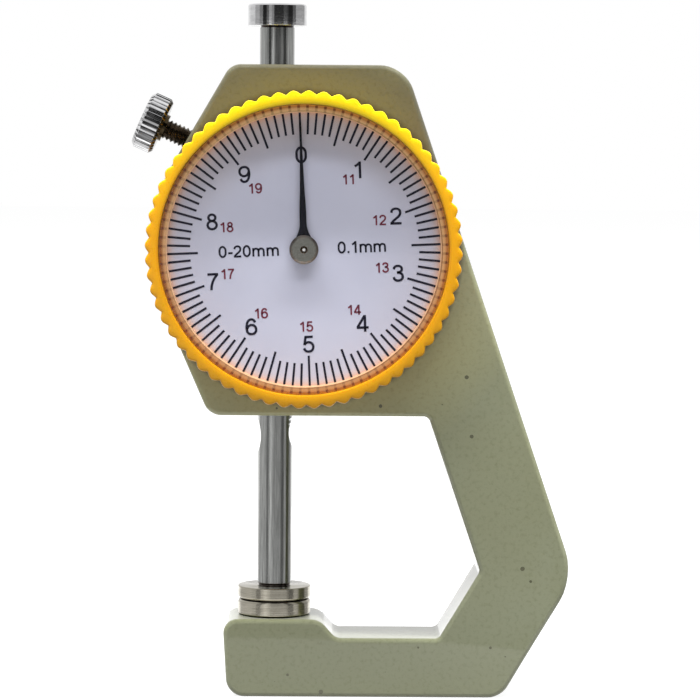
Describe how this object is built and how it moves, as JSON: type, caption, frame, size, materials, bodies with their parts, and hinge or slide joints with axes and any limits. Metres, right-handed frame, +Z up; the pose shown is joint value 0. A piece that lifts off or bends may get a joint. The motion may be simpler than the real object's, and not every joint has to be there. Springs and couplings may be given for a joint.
{
  "type": "dial thickness gauge",
  "caption": "C-frame dial thickness gauge: a sliding spindle with a rack turns the pointer, a waved bezel turns the dial, and a knurled screw locks the spindle.",
  "frame": {"origin": "where the measuring axis meets the plane that the gauge stands on, midway through the frame's thickness", "axes": "+Z up along the spindle, -Y towards the reader of the dial, +X to the reader's right, towards the back arm"},
  "size_m": [0.0603, 0.0186, 0.0947],
  "materials": {
    "frame_paint": "semi-gloss grey-green enamel on a casting, with small pits",
    "brass": "turned",
    "disc_steel": "turned and lapped, with bright edges",
    "spindle_steel": "ground",
    "knob_chrome": "plated",
    "inner_steel": "bright",
    "blackened_steel": "black oxide",
    "pointer_black": "satin black",
    "hub_metal": "turned, dull",
    "bezel_yellow": "moulded",
    "window_clear": "clear moulded plastic",
    "dial_face": "matt, printed"
  },
  "bodies": {
    "gauge_frame": {"frame": "frame_paint", "upper_bush": "brass", "lower_bush": "brass", "anvil": "disc_steel", "movement_plate": "brass", "plate_screws": "inner_steel", "front_pivot_bush": "brass", "rear_pivot_bush": "brass", "bezel_ring": "inner_steel", "spring_post": "inner_steel"},
    "spindle": {"measuring_spindle": "spindle_steel", "contact_disc": "disc_steel", "lift_knob": "knob_chrome", "cross_pin": "inner_steel", "return_spring": "inner_steel"},
    "pointer": {"pinion": "brass", "pinion_shaft": "inner_steel", "pointer_hand": "pointer_black", "pointer_hub": "hub_metal"},
    "bezel": {"bezel_rim": "bezel_yellow", "crystal": "window_clear", "dial_plate": "dial_face"},
    "lock_pad": {"pressure_pad": "brass"},
    "lock_screw": {"lock_stud": "blackened_steel", "lock_knob": "knob_chrome"}
  },
  "joints": [
    {"name": "spindle_slide", "type": "slide", "parent": "gauge_frame", "child": "spindle", "axis": [0, 0, 1], "range_m": [0, 0.02], "stiffness_N_per_m": 50, "springref_m": -0.02, "deforming": ["return_spring"]},
    {"name": "pointer_turn", "type": "hinge", "parent": "gauge_frame", "child": "pointer", "pos_m": [0.00384, 0, 0.0615], "axis": [0, 1, 0], "range_deg": [0, 720]},
    {"name": "bezel_turn", "type": "hinge", "parent": "gauge_frame", "child": "bezel", "pos_m": [0.00384, 0, 0.0615], "axis": [0, 1, 0], "continuous": true},
    {"name": "lock_slide", "type": "slide", "parent": "gauge_frame", "child": "lock_pad", "axis": [0.9135, 0, -0.4067], "range_m": [-0.0018, 0.00045]},
    {"name": "lock_turn", "type": "hinge", "parent": "lock_pad", "child": "lock_screw", "pos_m": [-0.01706, 0, 0.0784], "axis": [0.9135, 0, -0.4067], "range_deg": [-1080, 270]}
  ],
  "couplings": [
    {"joint": "pointer_turn", "follows": "spindle_slide", "rad_per_m": 628.32},
    {"joint": "lock_turn", "follows": "lock_slide", "rad_per_m": 10472}
  ]
}
